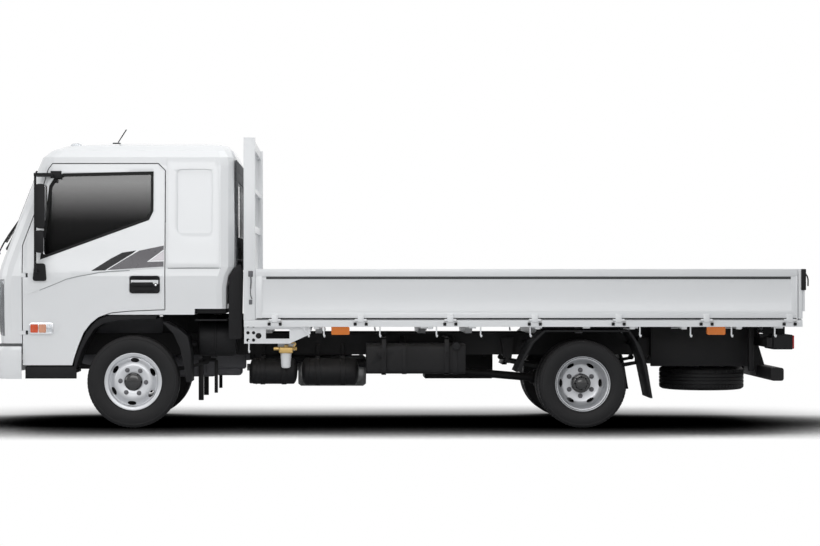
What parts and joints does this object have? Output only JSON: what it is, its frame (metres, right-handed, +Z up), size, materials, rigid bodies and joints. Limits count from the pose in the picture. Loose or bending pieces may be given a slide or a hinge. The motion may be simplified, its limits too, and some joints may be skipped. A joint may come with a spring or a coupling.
{
  "type": "light flatbed truck with drop sides and a tilting cab",
  "caption": "Cab-over flatbed truck with drop sides, a tailgate, a headboard and twin rear tyres; its cab tilts, doors and gates open, wheels roll and steer.",
  "frame": {"origin": "on the ground under the middle of the truck's box", "axes": "+X to the rear along the truck, +Y to its right side, +Z up"},
  "size_m": [7.0043, 2.5, 2.5879],
  "materials": {
    "white_paint": "gloss white paint",
    "black_paint": "satin black chassis paint",
    "black_plastic": "grained black plastic",
    "grey_steel": "bare aluminised steel",
    "tyre_rubber": "black tyre rubber",
    "wheel_silver": "silver painted steel",
    "tinted_glass": "tinted safety glass",
    "lamp_clear": "clear lamp cover",
    "lamp_orange": "orange lamp lens",
    "lamp_red": "red lamp lens",
    "seat_cloth": "dark seat cloth",
    "engine_grey": "grey cast iron"
  },
  "bodies": {
    "chassis": {"ladder_frame": "black_paint", "front_axle": "black_paint", "rear_axle": "black_paint", "engine": "engine_grey", "radiator": "black_paint", "propeller_shaft": "black_paint", "silencer": "grey_steel", "fuel_tank": "black_paint", "battery_box": "black_plastic", "fuel_filter": "white_paint", "air_duct": "black_plastic", "bumper": "white_paint", "mudguard_front_left": "black_plastic", "mudguard_front_right": "black_plastic", "mudguard_rear_left": "black_plastic", "mudguard_rear_right": "black_plastic", "spare_tyre": "tyre_rubber", "spare_rim": "wheel_silver", "bed_deck": "white_paint", "headboard": "white_paint", "marker_lamp_front_left": "lamp_orange", "marker_lamp_front_right": "lamp_orange", "marker_lamp_rear_left": "lamp_orange", "marker_lamp_rear_right": "lamp_orange", "tail_lamp_left": "lamp_red", "tail_lamp_right": "lamp_red"},
    "cab": {"cab_shell": "white_paint", "windscreen": "tinted_glass", "rear_window": "tinted_glass", "grille": "black_plastic", "headlamp_left": "lamp_clear", "headlamp_right": "lamp_clear", "dashboard": "black_plastic", "seat_driver": "seat_cloth", "seat_passenger": "seat_cloth", "step_left": "black_plastic", "step_right": "black_plastic"},
    "tie_rod": {"tie_rod": "black_paint"},
    "tail": {"tailgate": "white_paint"},
    "door_left": {"door_panel_left": "white_paint", "door_glass_left": "tinted_glass", "mirror_left": "black_plastic"},
    "side_left": {"dropside_left": "white_paint"},
    "knuckle_left": {"knuckle_left": "black_paint"},
    "wheel_front_left": {"tyre_front_left": "tyre_rubber", "rim_front_left": "wheel_silver"},
    "wheels_rear_left": {"tyre_rear_outer_left": "tyre_rubber", "tyre_rear_inner_left": "tyre_rubber", "rims_rear_left": "wheel_silver"},
    "door_right": {"door_panel_right": "white_paint", "door_glass_right": "tinted_glass", "mirror_right": "black_plastic"},
    "side_right": {"dropside_right": "white_paint"},
    "knuckle_right": {"knuckle_right": "black_paint"},
    "wheel_front_right": {"tyre_front_right": "tyre_rubber", "rim_front_right": "wheel_silver"},
    "wheels_rear_right": {"tyre_rear_outer_right": "tyre_rubber", "tyre_rear_inner_right": "tyre_rubber", "rims_rear_right": "wheel_silver"}
  },
  "joints": [
    {"name": "cab_tilt", "type": "hinge", "parent": "chassis", "child": "cab", "pos_m": [-3.3, 0, 0.78], "axis": [0, -1, 0], "range_deg": [0, 45]},
    {"name": "door_left_swing", "type": "hinge", "parent": "cab", "child": "door_left", "pos_m": [-3.155, -1.004, 1.2], "axis": [0, 0, -1], "range_deg": [0, 70]},
    {"name": "door_right_swing", "type": "hinge", "parent": "cab", "child": "door_right", "pos_m": [-3.155, 1.004, 1.2], "axis": [0, 0, 1], "range_deg": [0, 70]},
    {"name": "dropside_left_fold", "type": "hinge", "parent": "chassis", "child": "side_left", "pos_m": [0, -1.092, 0.925], "axis": [1, 0, 0], "range_deg": [0, 175]},
    {"name": "dropside_right_fold", "type": "hinge", "parent": "chassis", "child": "side_right", "pos_m": [0, 1.092, 0.925], "axis": [-1, 0, 0], "range_deg": [0, 175]},
    {"name": "tailgate_fold", "type": "hinge", "parent": "chassis", "child": "tail", "pos_m": [3.492, 0, 0.925], "axis": [0, 1, 0], "range_deg": [0, 175]},
    {"name": "steer_left", "type": "hinge", "parent": "chassis", "child": "knuckle_left", "pos_m": [-2.228, -0.78, 0.395], "axis": [0, 0, 1], "range_deg": [-35, 35]},
    {"name": "steer_right", "type": "hinge", "parent": "chassis", "child": "knuckle_right", "pos_m": [-2.228, 0.78, 0.395], "axis": [0, 0, 1], "range_deg": [-35, 35]},
    {"name": "tie_rod_pivot", "type": "hinge", "parent": "knuckle_left", "child": "tie_rod", "pos_m": [-2.098, -0.78, 0.33], "axis": [0, 0, 1], "range_deg": [-35, 35]},
    {"name": "wheel_front_left_spin", "type": "hinge", "parent": "knuckle_left", "child": "wheel_front_left", "pos_m": [-2.228, -0.8675, 0.395], "axis": [0, -1, 0], "continuous": true},
    {"name": "wheels_rear_left_spin", "type": "hinge", "parent": "chassis", "child": "wheels_rear_left", "pos_m": [1.622, -0.8825, 0.376], "axis": [0, -1, 0], "continuous": true},
    {"name": "wheel_front_right_spin", "type": "hinge", "parent": "knuckle_right", "child": "wheel_front_right", "pos_m": [-2.228, 0.8675, 0.395], "axis": [0, -1, 0], "continuous": true},
    {"name": "wheels_rear_right_spin", "type": "hinge", "parent": "chassis", "child": "wheels_rear_right", "pos_m": [1.622, 0.8825, 0.376], "axis": [0, -1, 0], "continuous": true}
  ],
  "couplings": [
    {"joint": "steer_right", "follows": "steer_left", "ratio": 1},
    {"joint": "tie_rod_pivot", "follows": "steer_left", "ratio": -1}
  ]
}
